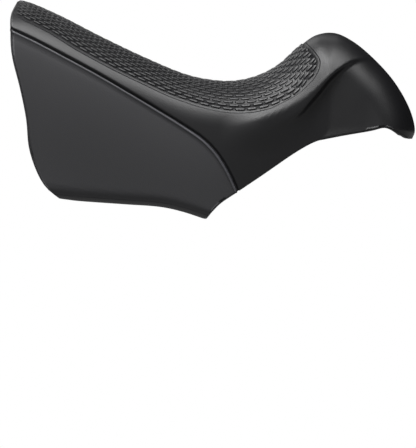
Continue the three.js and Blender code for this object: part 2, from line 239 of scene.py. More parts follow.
@dataclass(frozen=True)
class Form:
    """Sizes in mm that turn the side view into a solid, as in the part's source but for the strap's corner.

    Spans are the x or the distance over which one value turns into another.

    Args:
        rear_half_width: half the width at the open rear.
        saddle_half_width: half the width over the saddle.
        hump_half_width: half the width at the hump, before it swells.
        saddle_rounding: how far below the crown the side is full width, over the saddle.
        hump_rounding: the same at the hump.
        strap_rounding: how far above the sole the side is full width.
        inner_rounding: the same on the inner face.
        strap_fullness: how square the corner along the strap is, 2 for a round one.
        side_taper: share of its width that the side loses on the way down.
        side_wall: wall at the sides.
        top_wall: wall under the crown.
        groove_half_width: half the width of the groove.
        groove_depth: how deep the groove goes.
        lip: width kept for the lip below the groove.
        saddle_swell: how far the side stands out above the crease, over the saddle.
        hump_swell: the same at the hump.
        crease_depth: how far the side sinks in below the crease.
        crease_width: mm over which it sinks in where the crease is crisp.
        rim_radius: rounding of the rims.
        land_depth: how much of the sole is cut flat to rest on.
        saddle_span: x from the rear's width to the saddle's.
        hump_span: x from the saddle's width to the hump's.
        rounding_span: x from the saddle's rounding to the hump's.
        taper_starts: distance below the crown where the taper starts, at the rear and at the front.
        taper_span: x from the rear's start of the taper to the front's.
        taper_end: distance below the crown where the taper is complete.
        wall_span: distance below the crown from the top's wall to the sides'.
        swell_below: distance below the crown where the swelling starts.
        swell_run: distance over which it grows.
        swell_limit: most that it grows to, as a share.
        swell_span: x from the saddle's swelling to the hump's.
        swell_start: x over which the swelling sets in.
        swell_end: x over which it dies out.
        crisp_span: x over which the crease turns from soft to crisp.
        soft_crease: distance past the crease over which its soft part sinks in.
        crisp_end: distance past the crease where its crisp part is complete.
        inner_crease: distance past the crease over which the inner face sinks in.
        crease_start: x over which the crease sets in.
        crease_end: x over which it fades.
        crease_fade: share of its depth that it loses there.
        hollow_span: distance past the crease over which the hollow below it fills again.
        hollow_fill: share of its depth that fills again.
        crown: the crown in the side view.
        crown_reach: the crown, carried on past its ends.
        sole_reach: the sole, carried on past its ends.
        crease: the crease in the side view.
    """

    rear_half_width: float = 16.8
    saddle_half_width: float = 14.8
    hump_half_width: float = 12.6
    saddle_rounding: float = 13.0
    hump_rounding: float = 9.6
    strap_rounding: float = 3.2
    inner_rounding: float = 6.0
    strap_fullness: float = 2.4
    side_taper: float = 0.42
    side_wall: float = 2.0
    top_wall: float = 2.8
    groove_half_width: float = 0.45
    groove_depth: float = 0.85
    lip: float = 0.5
    saddle_swell: float = 1.5
    hump_swell: float = 2.3
    crease_depth: float = 1.0
    crease_width: float = 1.1
    rim_radius: float = 0.6
    land_depth: float = 0.2
    saddle_span: tuple[float, float] = (-45.0, -5.0)
    hump_span: tuple[float, float] = (5.0, 35.0)
    rounding_span: tuple[float, float] = (4.0, 44.0)
    taper_starts: tuple[float, float] = (13.0, 7.0)
    taper_span: tuple[float, float] = (0.0, 40.0)
    taper_end: float = 58.0
    wall_span: tuple[float, float] = (4.0, 10.0)
    swell_below: float = 3.0
    swell_run: float = 8.0
    swell_limit: float = 1.1
    swell_span: tuple[float, float] = (10.0, 40.0)
    swell_start: tuple[float, float] = (4.0, 17.0)
    swell_end: tuple[float, float] = (42.0, 50.0)
    crisp_span: tuple[float, float] = (18.0, 32.0)
    soft_crease: tuple[float, float] = (-2.0, 7.0)
    crisp_end: float = 0.1
    inner_crease: tuple[float, float] = (-7.0, 0.0)
    crease_start: tuple[float, float] = (16.0, 34.0)
    crease_end: tuple[float, float] = (44.0, 56.0)
    crease_fade: float = 0.75
    hollow_span: tuple[float, float] = (0.0, 10.0)
    hollow_fill: float = 0.25
    crown: Curve = field(default_factory=lambda: Curve.through(CROWN))
    crown_reach: Curve = field(default_factory=lambda: Curve.through(CROWN).extended(PAST_ENDS))
    sole_reach: Curve = field(default_factory=lambda: Curve.through(SOLE).extended(PAST_ENDS))
    crease: Curve = field(default_factory=lambda: Curve.through(CREASE))

    def relief(self, p: np.ndarray, below: np.ndarray) -> tuple[np.ndarray, np.ndarray, np.ndarray]:
        """Swelling of the hump's base above the crease and the hollow below it.

        Args:
            p: side-view points.
            below: their distance from the crown.

        Returns:
            Mm the side stands out, mm it sinks in, and mm it sinks in on the smooth inner face.
        """
        gap, side, _ = self.crease.nearest(p)
        under = -side * gap
        x = p[..., 0]
        soft = smoothstep(under, *self.soft_crease)
        crisp = smoothstep(under, -self.crease_width, self.crisp_end)
        lower = mix(soft, crisp, smoothstep(x, *self.crisp_span))
        swell = mix(self.saddle_swell, self.hump_swell, smoothstep(x, *self.swell_span))
        grown = np.clip((below - self.swell_below) / self.swell_run, 0, self.swell_limit) ** 2
        out = swell * grown * (1 - lower)
        out = out * smoothstep(x, *self.swell_start) * (1 - smoothstep(x, *self.swell_end))
        depth = self.crease_depth * smoothstep(x, *self.crease_start)
        depth = depth * (1 - self.crease_fade * smoothstep(x, *self.crease_end))
        sink = depth * lower * (1 - self.hollow_fill * smoothstep(under, *self.hollow_span))
        return out, sink, depth * smoothstep(under, *self.inner_crease)

    def widths(self, p: np.ndarray) -> tuple[np.ndarray, np.ndarray]:
        """Half the width of the hood and of the smooth form that its inner face follows.

        Args:
            p: side-view points.

        Returns:
            Both half widths at each point.
        """
        x = p[..., 0]
        rear_to_saddle = mix(self.rear_half_width, self.saddle_half_width, smoothstep(x, *self.saddle_span))
        side = mix(rear_to_saddle, self.hump_half_width, smoothstep(x, *self.hump_span))
        rounding = mix(self.saddle_rounding, self.hump_rounding, smoothstep(x, *self.rounding_span))
        below = self.crown_reach.nearest(p)[0]
        above = self.sole_reach.nearest(p)[0]
        top = np.sqrt(1 - (1 - np.minimum(below / rounding, 1)) ** 2)
        bottom, inside = (
            (1 - (1 - np.minimum(above / reach, 1)) ** self.strap_fullness) ** (1 / self.strap_fullness)
            for reach in (self.strap_rounding, self.inner_rounding)
        )
        taper_start = mix(*self.taper_starts, smoothstep(x, *self.taper_span))
        taper = 1 - self.side_taper * smoothstep(below, taper_start, self.taper_end)
        out, sink, smooth_sink = self.relief(p, below)
        return ((side * taper - sink) * top + out) * bottom, (side * taper - smooth_sink) * top * inside

    def half_width(self, p: np.ndarray) -> np.ndarray:
        """Half the width of the hood at side-view points."""
        return self.widths(p)[0]

    def lift(self, p: np.ndarray) -> np.ndarray:
        """Side-view points carried out to the surface that faces the camera."""
        return np.stack([p[..., 0], -self.half_width(p), p[..., 1]], axis=-1)

    def core(self, p: np.ndarray) -> np.ndarray:
        """Side-view points carried out to the smooth form that the inner face follows."""
        return np.stack([p[..., 0], -self.widths(p)[1], p[..., 1]], axis=-1)

    def wall(self, p: np.ndarray) -> np.ndarray:
        """Rubber thickness at side-view points."""
        below = self.crown_reach.nearest(p)[0]
        return mix(self.top_wall, self.side_wall, smoothstep(below, *self.wall_span))


@dataclass
class Mesh:
    """Vertices in mm, faces with a material each, and numbers kept per vertex.

    Args:
        vertices: one row each.
        faces: vertex numbers of each face.
        slots: material slot of each face.
        layers: name of a kept number to its value at each vertex.
    """

    vertices: np.ndarray
    faces: list[tuple[int, ...]]
    slots: list[int]
    layers: dict[str, np.ndarray] = field(default_factory=dict)

    def to_object(self, name: str, materials: list[bpy.types.Material], drop: float) -> bpy.types.Object:
        """Blender object of this mesh, smooth shaded.

        Args:
            name: name of the piece.
            materials: one for each slot number.
            drop: how far the vertices are moved down, in mm.

        Returns:
            The linked object.
        """
        data = bpy.data.meshes.new(name)
        points = (self.vertices - [0.0, 0.0, drop]) * MM
        data.from_pydata(points.tolist(), [], self.faces)
        for material in materials:
            data.materials.append(material)
        data.polygons.foreach_set("material_index", self.slots)
        data.polygons.foreach_set("use_smooth", [True] * len(self.faces))
        for layer, values in self.layers.items():
            attribute = data.attributes.new(layer, "FLOAT", "POINT")
            attribute.data.foreach_set("value", np.asarray(values, np.float32))
        data.validate()
        piece = bpy.data.objects.new(name, data)
        bpy.context.scene.collection.objects.link(piece)
        return piece


class Slot(Enum):
    """Which compound of the two-shot moulding a face belongs to; the lip is the panel's compound, painted
    lighter as a highlight.
    """

    SKIN = 0
    PANEL = 1
    # The lip's faces: the panel's compound, painted lighter as a highlight on its lit upper edge
    LIP = 2


def face_normals(vertices: np.ndarray, faces: np.ndarray) -> np.ndarray:
    """Vertex normals of a triangle array, each face weighted by its area.

    Args:
        vertices: one row each.
        faces: three vertex numbers each.

    Returns:
        A unit normal for each vertex.
    """
    a, b, c = (vertices[faces[:, i]] for i in range(3))
    n = np.cross(b - a, c - a)
    normals = np.zeros_like(vertices)
    for i in range(3):
        np.add.at(normals, faces[:, i], n)
    return normals / np.maximum(np.linalg.norm(normals, axis=1), NO_SIZE)[:, None]


def open_loops(faces: np.ndarray) -> list[list[int]]:
    """The open edges of a triangle array, chained into loops.

    Args:
        faces: three vertex numbers each.

    Returns:
        The vertex numbers of each loop, in the order in which its faces run.
    """
    edges = {(int(t[i]), int(t[(i + 1) % 3])) for t in faces for i in range(3)}
    following = {a: b for a, b in edges if (b, a) not in edges}
    loops = []
    while following:
        i = min(following)
        loop = []
        while i in following:
            loop.append(i)
            i = following.pop(i)
        loops.append(loop)
    return loops


@dataclass(frozen=True)
class Sheet:
    """The outer face of the whole sleeve, before it gets its wall and rims.

    Args:
        side_view: place of each vertex in the side view.
        vertices: the vertices on the outer form.
        core: the same vertices on the smooth form that the inner face follows.
        sink: mm each vertex lies below the outer form in the groove, negative on the lip.
        triangles: three vertex numbers each.
        slots: material slot of each triangle.
    """

    side_view: np.ndarray
    vertices: np.ndarray
    core: np.ndarray
    sink: np.ndarray
    triangles: np.ndarray
    slots: list[int]


@dataclass
class Sleeve:
    """The moulded sleeve: skin, side panel, groove between them, inner face and rims.

    Args:
        form: sizes of the hood.
        groove_columns: columns of vertices along the groove.
        front_columns: columns of vertices along the front rim.
        skin_rows: rows between the crown and the skin's lower edge.
        panel_rows: rows between the groove and the strap.
        rib_steps: steps of a rib before it is cut into even rows.
        groove_dots: points along the groove's line.
        groove_skin_rows: rows of the groove's section that belong to the skin.
        rear_bend: share of the skin's lower edge over which the ribs follow the rear rim's bend.
        corner_blur: how often the rims' outward directions are evened out with their neighbours.
        inner_set_back: mm by which the inner edge of a rim stands back from its outer edge.
        rim_turns: angles of the rings that round a rim, in degrees.
        groove_section: section of the groove and the lip, as mm across and share of the groove's depth.
    """

    form: Form
    groove_columns: int = 110
    front_columns: int = 110
    skin_rows: int = 44
    panel_rows: int = 30
    rib_steps: int = 64
    groove_dots: int = 241
    groove_skin_rows: int = 4
    rear_bend: float = 0.1
    corner_blur: int = 8
    inner_set_back: float = 0.3
    rim_turns: tuple[float, ...] = (30.0, 60.0, 90.0)
    groove_section: tuple[tuple[float, float], ...] = (
        (-0.36, 0.45), (-0.26, 0.9), (-0.1, 1.0), (0.14, 1.0), (0.26, 0.75), (0.34, 0.2),
        (0.42, -0.25), (0.54, -0.42), (0.74, -0.4), (0.92, -0.1),
    )

    def groove_edge(self, shift: float) -> Curve:
        """The groove's line moved sideways, with its ends kept on the two rims.

        Args:
            shift: mm down from the groove's middle.

        Returns:
            The moved line.
        """
        line, rear, front = (Curve.through(points) for points in (GROOVE, REAR_RIM, FRONT_RIM))
        shares = np.linspace(0, 1, self.groove_dots)
        dots = line.at(shares) + line.right_of(shares) * shift
        start = float(rear.nearest(drawn(GROOVE[0]))[2])
        end = float(front.nearest(drawn(GROOVE[-1]))[2])
        dots[0] = rear.at(start + shift / rear.length)
        dots[-1] = front.at(end - shift / front.length)
        return Curve(dots)

    def even(self, path: np.ndarray, rows: int) -> np.ndarray:
        """Side-view ribs cut again into steps that are even over the curved surface.

        Args:
            path: side-view points, as columns of rib_steps + 1 points.
            rows: how many steps are wanted.

        Returns:
            Side-view points, as columns of rows + 1 points.
        """
        lifted = self.form.lift(path)
        out = np.empty((len(path), rows + 1, 2))
        shares = np.linspace(0, 1, rows + 1)
        for c, column in enumerate(lifted):
            curve = Curve(column)
            out[c] = column[:1, [0, 2]] if curve.length < NO_LENGTH else curve.at(shares)[:, [0, 2]]
        return out

    def columns(self) -> tuple[np.ndarray, np.ndarray, np.ndarray]:
        """Grids of side-view points, as columns that run down the side.

        Returns:
            The skin from the crown to its lower edge, the groove with its lip, and the panel down to the strap.
        """
        form = self.form
        rear, front, sole = (Curve.through(points) for points in (REAR_RIM, FRONT_RIM, SOLE))
        skin_edge = self.groove_edge(-form.groove_half_width)
        panel_edge = self.groove_edge(form.groove_half_width + form.lip)
        on_rear = [float(rear.nearest(edge.at(0.0))[2]) for edge in (skin_edge, panel_edge)]
        on_front = [float(front.nearest(edge.at(1.0))[2]) for edge in (skin_edge, panel_edge)]

        # The skin's lower edge follows the groove and then the nose's rim, up to the tip
        nose_rim = front.stretch(on_front[0], 1.0)
        skin_lower = Curve(np.vstack([skin_edge.dots, nose_rim.dots[1:]]))
        corner = skin_edge.length / skin_lower.length
        on_groove = corner * np.linspace(0, 1, self.groove_columns + 1)
        in_space = Curve(form.lift(nose_rim.dots))
        on_rim = in_space.at(np.linspace(0, 1, self.front_columns + 1)[1:])[:, [0, 2]]
        shares = np.r_[on_groove, mix(corner, 1.0, nose_rim.nearest(on_rim)[2])]

        # Ribs run from the crown to that edge. Those near the rear take on the rear rim's bend
        pairs = np.array(RIB_PAIRS, float)
        top = form.crown.at(np.interp(shares, pairs[:, 1], pairs[:, 0]))
        low = skin_lower.at(shares)
        low[-1] = top[-1]
        v = np.linspace(0, 1, self.rib_steps + 1)
        v = v * v * (3 - 2 * v)
        skin_rear = rear.stretch(0.0, on_rear[0])
        bend = skin_rear.at(v) - mix(skin_rear.at(0.0), skin_rear.at(1.0), v[:, None])
        fade = np.maximum(0.0, 1 - shares / self.rear_bend) ** 2
        ribs = mix(top[:, None], low[:, None], v[None, :, None]) + bend[None] * fade[:, None, None]
        skin = self.even(ribs, self.skin_rows)

        u = np.linspace(0, 1, self.groove_columns + 1)
        groove = np.stack([self.groove_edge(across).at(u) for across, _ in self.groove_section], axis=1)

        # The panel's ribs take on the bends of the rear and of the front rim
        panel_rear = rear.stretch(on_rear[1], 1.0)
        panel_front = front.stretch(on_front[1], 0.0)
        ribs = mix(panel_edge.at(u)[:, None], sole.at(u)[:, None], v[None, :, None])
        bend_rear = panel_rear.at(v) - mix(panel_edge.at(0.0), sole.at(0.0), v[:, None])
        bend_front = panel_front.at(v) - mix(panel_edge.at(1.0), sole.at(1.0), v[:, None])
        near_rear, near_front = ((1 - u) ** 3)[:, None, None], (u**3)[:, None, None]
        ribs = ribs + bend_rear[None] * near_rear + bend_front[None] * near_front
        return skin, groove, self.even(ribs, self.panel_rows)

    def slot_of(self, row: int) -> int:
        """Material slot of the faces that end at a row.

        Args:
            row: number of the row, counted from the crown.

        Returns:
            The slot's number.
        """
        if row <= self.skin_rows + self.groove_skin_rows:
            return Slot.SKIN.value
        # The groove's lower wall and the lip take the lip's material, whose colour is painted lighter as a
        # highlight
        if row <= self.skin_rows + len(self.groove_section):
            return Slot.LIP.value
        return Slot.PANEL.value

    def sheet(self) -> Sheet:
        """The half that faces the camera and its mirror image, joined along the middle.

        Returns:
            The outer face.
        """
        form = self.form
        skin, groove, panel = self.columns()
        full = np.concatenate([skin[: self.groove_columns + 1], groove, panel], axis=1)
        rest = skin[self.groove_columns + 1:]
        rows_full, rows_skin = full.shape[1], self.skin_rows + 1
        last = len(full) + len(rest) - 1
        side_view = np.vstack([full.reshape(-1, 2), rest.reshape(-1, 2)])
        in_groove = [depth for _, depth in self.groove_section]
        depths = [0.0] * rows_skin + in_groove + [0.0] * (self.panel_rows + 1)
        sink = np.r_[np.tile(depths, len(full)) * form.groove_depth, np.zeros(len(rest) * rows_skin)]

        def number(c: int, r: int) -> int:
            """Number of the vertex at a column and row."""
            if c <= self.groove_columns:
                return c * rows_full + r
            return len(full) * rows_full + (c - self.groove_columns - 1) * rows_skin + r

        on_crown = [number(c, 0) for c in range(last + 1)]
        on_strap = [number(c, rows_full - 1) for c in range(len(full))]
        on_tip = [number(last, r) for r in range(rows_skin)]
        middle = np.zeros(len(side_view), bool)
        middle[on_crown + on_strap + on_tip] = True
        half, smooth = form.lift(side_view), form.core(side_view)
        half[middle, 1] = 0.0
        smooth[middle, 1] = 0.0

        faces, slots = [], []
        for c in range(1, last + 1):
            rows = rows_full if c <= self.groove_columns else rows_skin
            for r in range(1, rows):
                a, b, d, e = number(c - 1, r - 1), number(c, r - 1), number(c - 1, r), number(c, r)
                here = [(a, d, number(last, 0))] if c == last else [(a, d, b), (b, d, e)]
                faces += here
                slots += [self.slot_of(r)] * len(here)
        mirrored = np.where(middle, np.arange(len(half)), np.arange(len(half)) + len(half))
        triangles = np.array(faces)
        return Sheet(
            side_view=np.vstack([side_view, side_view]),
            vertices=np.vstack([half, half * [1, -1, 1]]),
            core=np.vstack([smooth, smooth * [1, -1, 1]]),
            sink=np.r_[sink, sink],
            triangles=np.vstack([triangles, mirrored[triangles][:, ::-1]]),
            slots=slots * 2,
        )

    def rim(
        self, sheet: Sheet, ids: np.ndarray, normals: np.ndarray, core_normals: np.ndarray, wall: np.ndarray
    ) -> list[np.ndarray]:
        """Rings of points that round one open edge.

        Args:
            sheet: the outer face.
            ids: vertex numbers along the edge.
            normals: the outer form's normals there.
            core_normals: the smooth inner form's normals there.
            wall: the rubber's thickness there.

        Returns:
            The rings, from the outer face over the rim to the inner face.
        """
        vertices, core, sink = sheet.vertices[ids], sheet.core[ids], sheet.sink[ids]
        outward = np.cross(np.roll(vertices, -1, 0) - np.roll(vertices, 1, 0), normals)
        for _ in range(self.corner_blur):
            outward /= np.linalg.norm(outward, axis=1)[:, None]
            outward = np.roll(outward, 1, 0) + 2 * outward + np.roll(outward, -1, 0)
        outward /= np.linalg.norm(outward, axis=1)[:, None]
        radius = self.form.rim_radius

        def ring(turn: float, share: float) -> np.ndarray:
            """Points on the rounding at a turn from the outer form, share 0, or the inner one, share 1."""
            back = radius * (1 - math.sin(turn)) + self.inner_set_back * share
            fall = radius * (1 - math.cos(turn))
            deep = wall - fall if share else sink + fall
            down = mix(normals, core_normals, share) * deep[:, None]
            return mix(vertices, core, share) - outward * back - down

        turns = [0.0, *(math.radians(turn) for turn in self.rim_turns)]
        return [ring(turn, 0.0) for turn in turns] + [ring(turn, 1.0) for turn in reversed(turns)]

    def build(self) -> Mesh:
        """The closed sleeve: outer face, inner face and rims.

        Returns:
            One mesh, with its distances from the patch's border and from the strap.
        """
        form, sheet = self.form, self.sheet()
        count = len(sheet.vertices)
        normals = face_normals(sheet.vertices, sheet.triangles)
        core_normals = face_normals(sheet.core, sheet.triangles)
        wall = form.wall(sheet.side_view)
        outer = sheet.vertices - normals * sheet.sink[:, None]
        points = np.vstack([outer, sheet.core - core_normals * wall[:, None]])
        faces = [sheet.triangles, sheet.triangles[:, ::-1] + count]
        slots = sheet.slots * 2
        on_panel = np.zeros(count, bool)
        on_panel[sheet.triangles[np.array(sheet.slots) != Slot.SKIN.value]] = True
        for loop in open_loops(sheet.triangles):
            ids = np.array(loop)
            blocks = self.rim(sheet, ids, normals[ids], core_normals[ids], wall[ids])
            points[ids], points[ids + count] = blocks[0], blocks[-1]
            rings = [ids, *(np.arange(len(ids)) + len(points) + k * len(ids) for k in range(len(blocks) - 2))]
            rings.append(ids + count)
            points = np.vstack([points, *blocks[1:-1]])
            panel_edge = on_panel[ids] & on_panel[np.roll(ids, -1)]
            edge_slots = np.where(panel_edge, Slot.PANEL.value, Slot.SKIN.value)
            for here, there in zip(rings, rings[1:]):
                here_next, there_next = np.roll(here, -1), np.roll(there, -1)
                pairs = np.stack([here, there, here_next, here_next, there, there_next], 1)
                faces.append(pairs.reshape(-1, 3))
                slots += np.repeat(edge_slots, 2).tolist()
        hidden = len(points) - count
        layers = {
            "border_mm": np.r_[patch_border_distance(form, sheet.side_view), np.full(hidden, NO_BORDER_MM)],
            "strap_mm": np.r_[form.sole_reach.nearest(sheet.side_view)[0], np.full(hidden, NO_HEM_MM)],
        }
        points[:, 2] = np.maximum(points[:, 2], form.land_depth)
        return Mesh(points, [tuple(face) for face in np.vstack(faces).tolist()], slots, layers)


def patch_outline(form: Form) -> Curve:
    """Lower edge and front end of the textured patch in the side view.

    Args:
        form: sizes of the hood.

    Returns:
        The line, carried on a little past the rear.
    """
    table = np.array(PATCH_DEPTH)
    runs = np.linspace(0, PATCH_FRONT_START, int(PATCH_FRONT_START) + 1)
    shares = runs / form.crown.length
    lower = form.crown.at(shares)
    lower = lower + form.crown.right_of(shares, 0.002) * np.interp(runs, table[:, 0], table[:, 1])[:, None]
    front = Curve.through(PATCH_FRONT, PATCH_FRONT_STEPS).dots[PATCH_FRONT_SKIPPED:]
    return Curve(np.vstack([lower[0] + (lower[0] - lower[1]) * PATCH_PAST_REAR, lower, front]))


def patch_border_distance(form: Form, p: np.ndarray) -> np.ndarray:
    """Distance in mm from the patch's border at side-view points, positive inside the patch."""
    gap, side, _ = patch_outline(form).nearest(p)
    return gap * side


@dataclass
class GripPads:
    """Raised rounded pads in running bond over the top of the hood.

    Args:
        form: sizes of the hood.
        pitch: mm between pads along the crown.
        fan: how far the columns follow the crown's bends, 0 for upright ones and 1 for square ones.
        rows: number of pad rows from the crown to the patch's border.
        border_room: room between the last row and the border, in rows.
        row_spread: below 1, the rows crowd towards the border.
        length_share: how much of the pitch a pad takes.
        width_share: how much of a row a pad takes.
        height: how far a pad stands up, in mm.
        corners: points round one pad.
        floor: how far a pad's foot is let into the skin, in mm.
        start: mm along the crown to the first column.
        reach: mm along the crown that the table covers.
        columns: columns of the table.
        shares: shares of the table, from the crown to just past the border.
        past_border: share of the way to the border where the table ends.
        rib_reach: how far the table's ribs go, in depths of the patch.
        rib_dots: points along such a rib.
        border_gap: mm that a pad keeps from the border.
        rear_gap: mm that a pad keeps from the rear end of the crown.
        end_tries: points along a pad at which it is tried against the border.
        shortest: shortest cut pad that is kept, in half lengths.
        corner_power: how square a pad is, 1 for an ellipse and 0 for a rectangle.
        levels: section of a pad, as share of its half width and share of its height.
        grid: the table, once it is made.
    """

    form: Form
    pitch: float = 3.05
    fan: float = 0.45
    rows: int = 12
    border_room: float = 0.62
    row_spread: float = 0.84
    length_share: float = 0.86
    width_share: float = 0.72
    height: float = 0.42
    corners: int = 14
    floor: float = 0.12
    start: float = 1.2
    reach: float = 95.0
    columns: int = 400
    shares: int = 60
    past_border: float = 1.1
    rib_reach: float = 1.5
    rib_dots: int = 61
    border_gap: float = 0.1
    rear_gap: float = 0.5
    end_tries: int = 9
    shortest: float = 0.7
    corner_power: float = 0.5
    levels: tuple[tuple[float, float], ...] = (
        (0.0, 1.0), (0.7, 0.98), (0.88, 0.85), (0.99, 0.4), (1.02, -0.5),
    )
    grid: np.ndarray | None = None

    def table(self) -> np.ndarray:
        """The top of the near side, measured over an even grid.

        Returns:
            Space points, by mm along the crown and by share of the way from the crown to the border.
        """
        form, crown = self.form, self.form.crown
        depths = np.array(PATCH_DEPTH)
        run = np.linspace(0.0, self.reach, self.columns)
        at = crown.at(run / crown.length)
        depth = np.interp(run, depths[:, 0], depths[:, 1])
        square = crown.right_of(run / crown.length)
        inward = mix(np.array([[0.0, -1.0]]), square, self.fan)
        inward /= (inward * square).sum(1)[:, None]
        steps = np.linspace(0, 1, self.rib_dots) ** 2 * self.rib_reach
        ribs = at[:, None] + inward[:, None] * (depth[:, None] * steps)[..., None]
        space = form.lift(ribs)
        hops = np.linalg.norm(np.diff(space, axis=1), axis=2)
        lengths = np.concatenate([np.zeros((len(run), 1)), np.cumsum(hops, axis=1)], axis=1)
        out = np.empty((len(run), self.shares, 3))
        share = np.linspace(0, self.past_border, self.shares)
        for i, row in enumerate(lengths):
            border = np.interp(1.0, steps, row)
            reach = np.interp(share * border, row, steps)
            out[i, :, :2] = at[i] + inward[i] * (depth[i] * reach)[:, None]
        lifted = form.lift(out[..., :2])
        lifted[:, 0, 1] = 0.0
        return lifted

    def surface(self, run: np.ndarray, share: np.ndarray) -> tuple[np.ndarray, np.ndarray]:
        """Points and normals of the top, read from the table.

        Args:
            run: mm along the crown.
            share: 0 on the crown, 1 on the patch's border, negative beyond the crown.

        Returns:
            Space points and unit normals.
        """
        whole = np.concatenate([self.grid[:, :0:-1] * [1, -1, 1], self.grid], axis=1)
        u = np.clip(run / self.reach, 0, 1) * (self.columns - 1)
        v = (np.clip(share / self.past_border, -1, 1) + 1) * (self.shares - 1)
        i = np.minimum(u.astype(int), self.columns - 2)
        j = np.minimum(v.astype(int), 2 * self.shares - 3)
        a, b = (u - i)[:, None], (v - j)[:, None]
        corners = whole[i, j], whole[i + 1, j], whole[i, j + 1], whole[i + 1, j + 1]
        point = mix(mix(corners[0], corners[1], a), mix(corners[2], corners[3], a), b)
        along = mix(corners[1] - corners[0], corners[3] - corners[2], b)
        across = mix(corners[2] - corners[0], corners[3] - corners[1], a)
        normal = np.cross(across, along)
        return point, normal / np.linalg.norm(normal, axis=1)[:, None]

    def places(self) -> tuple[np.ndarray, np.ndarray, np.ndarray]:
        """Where the pads of one side and of the crown lie. A pad that would cross the border ends at it.

        Returns:
            Mm along the crown and row of each pad's middle, and half its length in mm.
        """
        half_length = self.pitch * self.length_share / 2
        rows, columns = np.meshgrid(np.arange(self.rows + 1), np.arange(int(self.reach / self.pitch)))
        rows, columns = rows.ravel(), columns.ravel()
        run = self.start + (columns + 0.5 * (rows % 2)) * self.pitch
        share = self.share_of(rows)
        outline = patch_outline(self.form)
        ends = np.linspace(-1, 1, self.end_tries)
        inside = np.zeros((len(ends), len(run)), bool)
        for i, end in enumerate(ends):
            here, _ = self.surface(run + end * half_length, share)
            gap, side, _ = outline.nearest(here[:, [0, 2]])
            inside[i] = (side * gap > self.border_gap) & (run + end * half_length > self.rear_gap)
        low = ends[inside.argmax(0)]
        high = ends[len(ends) - 1 - inside[::-1].argmax(0)]
        keep = inside.any(0) & (high - low > self.shortest)
        run += (low + high) / 2 * half_length
        return run[keep], rows[keep], (high - low)[keep] / 2 * half_length

    def share_of(self, row: np.ndarray) -> np.ndarray:
        """Share of the way from the crown to the border at a row or between rows."""
        return np.sign(row) * (np.abs(row) / (self.rows + self.border_room)) ** self.row_spread

    def build(self) -> Mesh:
        """All pads: those of the near side, their mirror images and those on the crown.

        Returns:
            One mesh.
        """
        self.grid = self.table()
        run, row, half_length = self.places()
        other = row > 0
        run, half_length = np.r_[run, run[other]], np.r_[half_length, half_length[other]]
        row = np.r_[row, -row[other]]
        angles = np.linspace(0, 2 * np.pi, self.corners, endpoint=False)
        ring = np.stack([np.cos(angles), np.sin(angles)], 1)
        ring = np.sign(ring) * np.abs(ring) ** self.corner_power
        half_width = self.width_share / 2
        blocks = []
        for size, rise in self.levels:
            local = ring * size if size else np.zeros((1, 2))
            a = run[:, None] + local[None, :, 0] * half_length[:, None]
            b = row[:, None] + local[None, :, 1] * half_width
            here, normal = self.surface(a.ravel(), self.share_of(b.ravel()))
            lifted = here + normal * (rise * self.height - self.floor)
            blocks.append(lifted.reshape(len(run), len(local), 3))
        points = np.concatenate(blocks, axis=1)
        n, rings = self.corners, len(self.levels) - 1
        pad = []
        for k in range(n):
            m = (k + 1) % n
            pad.append((0, 1 + m, 1 + k))
            for level in range(rings - 1):
                a = 1 + level * n
                pad.append((a + k, a + m, a + n + m, a + n + k))
        size = points.shape[1]
        starts = range(0, len(points) * size, size)
        faces = [tuple(i + start for i in face) for start in starts for face in pad]
        return Mesh(points.reshape(-1, 3), faces, [0] * len(faces))


@dataclass(frozen=True)
class Step:
    """A low step moulded into the surface along a line.

    Args:
        layer: distance kept on the mesh that the step follows.
        start_mm: distance at which it starts.
        width_mm: distance over which it rises.
        rise_mm: how far the surface stands higher behind it, negative for lower.
    """

    layer: str
    start_mm: float
    width_mm: float
    rise_mm: float


@dataclass(frozen=True)
class Finish:
    """One rubber compound as its mould leaves it.

    Args:
        name: what the compound is and how its surface was made.
        colour: sRGB hex colour.
        roughness: how far it spreads a highlight.
        grain_mm: size of the mould's grain.
        grain_depth_mm: how deep the grain is.
        specular: strength of its highlight.
        steps: low steps moulded into it.
    """

    name: str
    colour: str
    roughness: float
    grain_mm: float
    grain_depth_mm: float
    specular: float = 0.5
    steps: tuple[Step, ...] = ()


def add_node(
    tree: bpy.types.NodeTree,
    kind: str,
    values: dict[str | int, object] | None = None,
    links: dict[str | int, bpy.types.NodeSocket] | None = None,
    **settings: object,
) -> bpy.types.Node:
    """Add one node to a tree.

    Args:
        tree: the tree it goes into.
        kind: Blender's node type.
        values: input name or number to value.
        links: input name or number to the socket that feeds it.
        settings: attributes of the node.

    Returns:
        The node.
    """
    node = tree.nodes.new(kind)
    for key, value in settings.items():
        setattr(node, key, value)
    for key, value in (values or {}).items():
        node.inputs[key].default_value = value
    for key, socket in (links or {}).items():
        tree.links.new(socket, node.inputs[key])
    return node


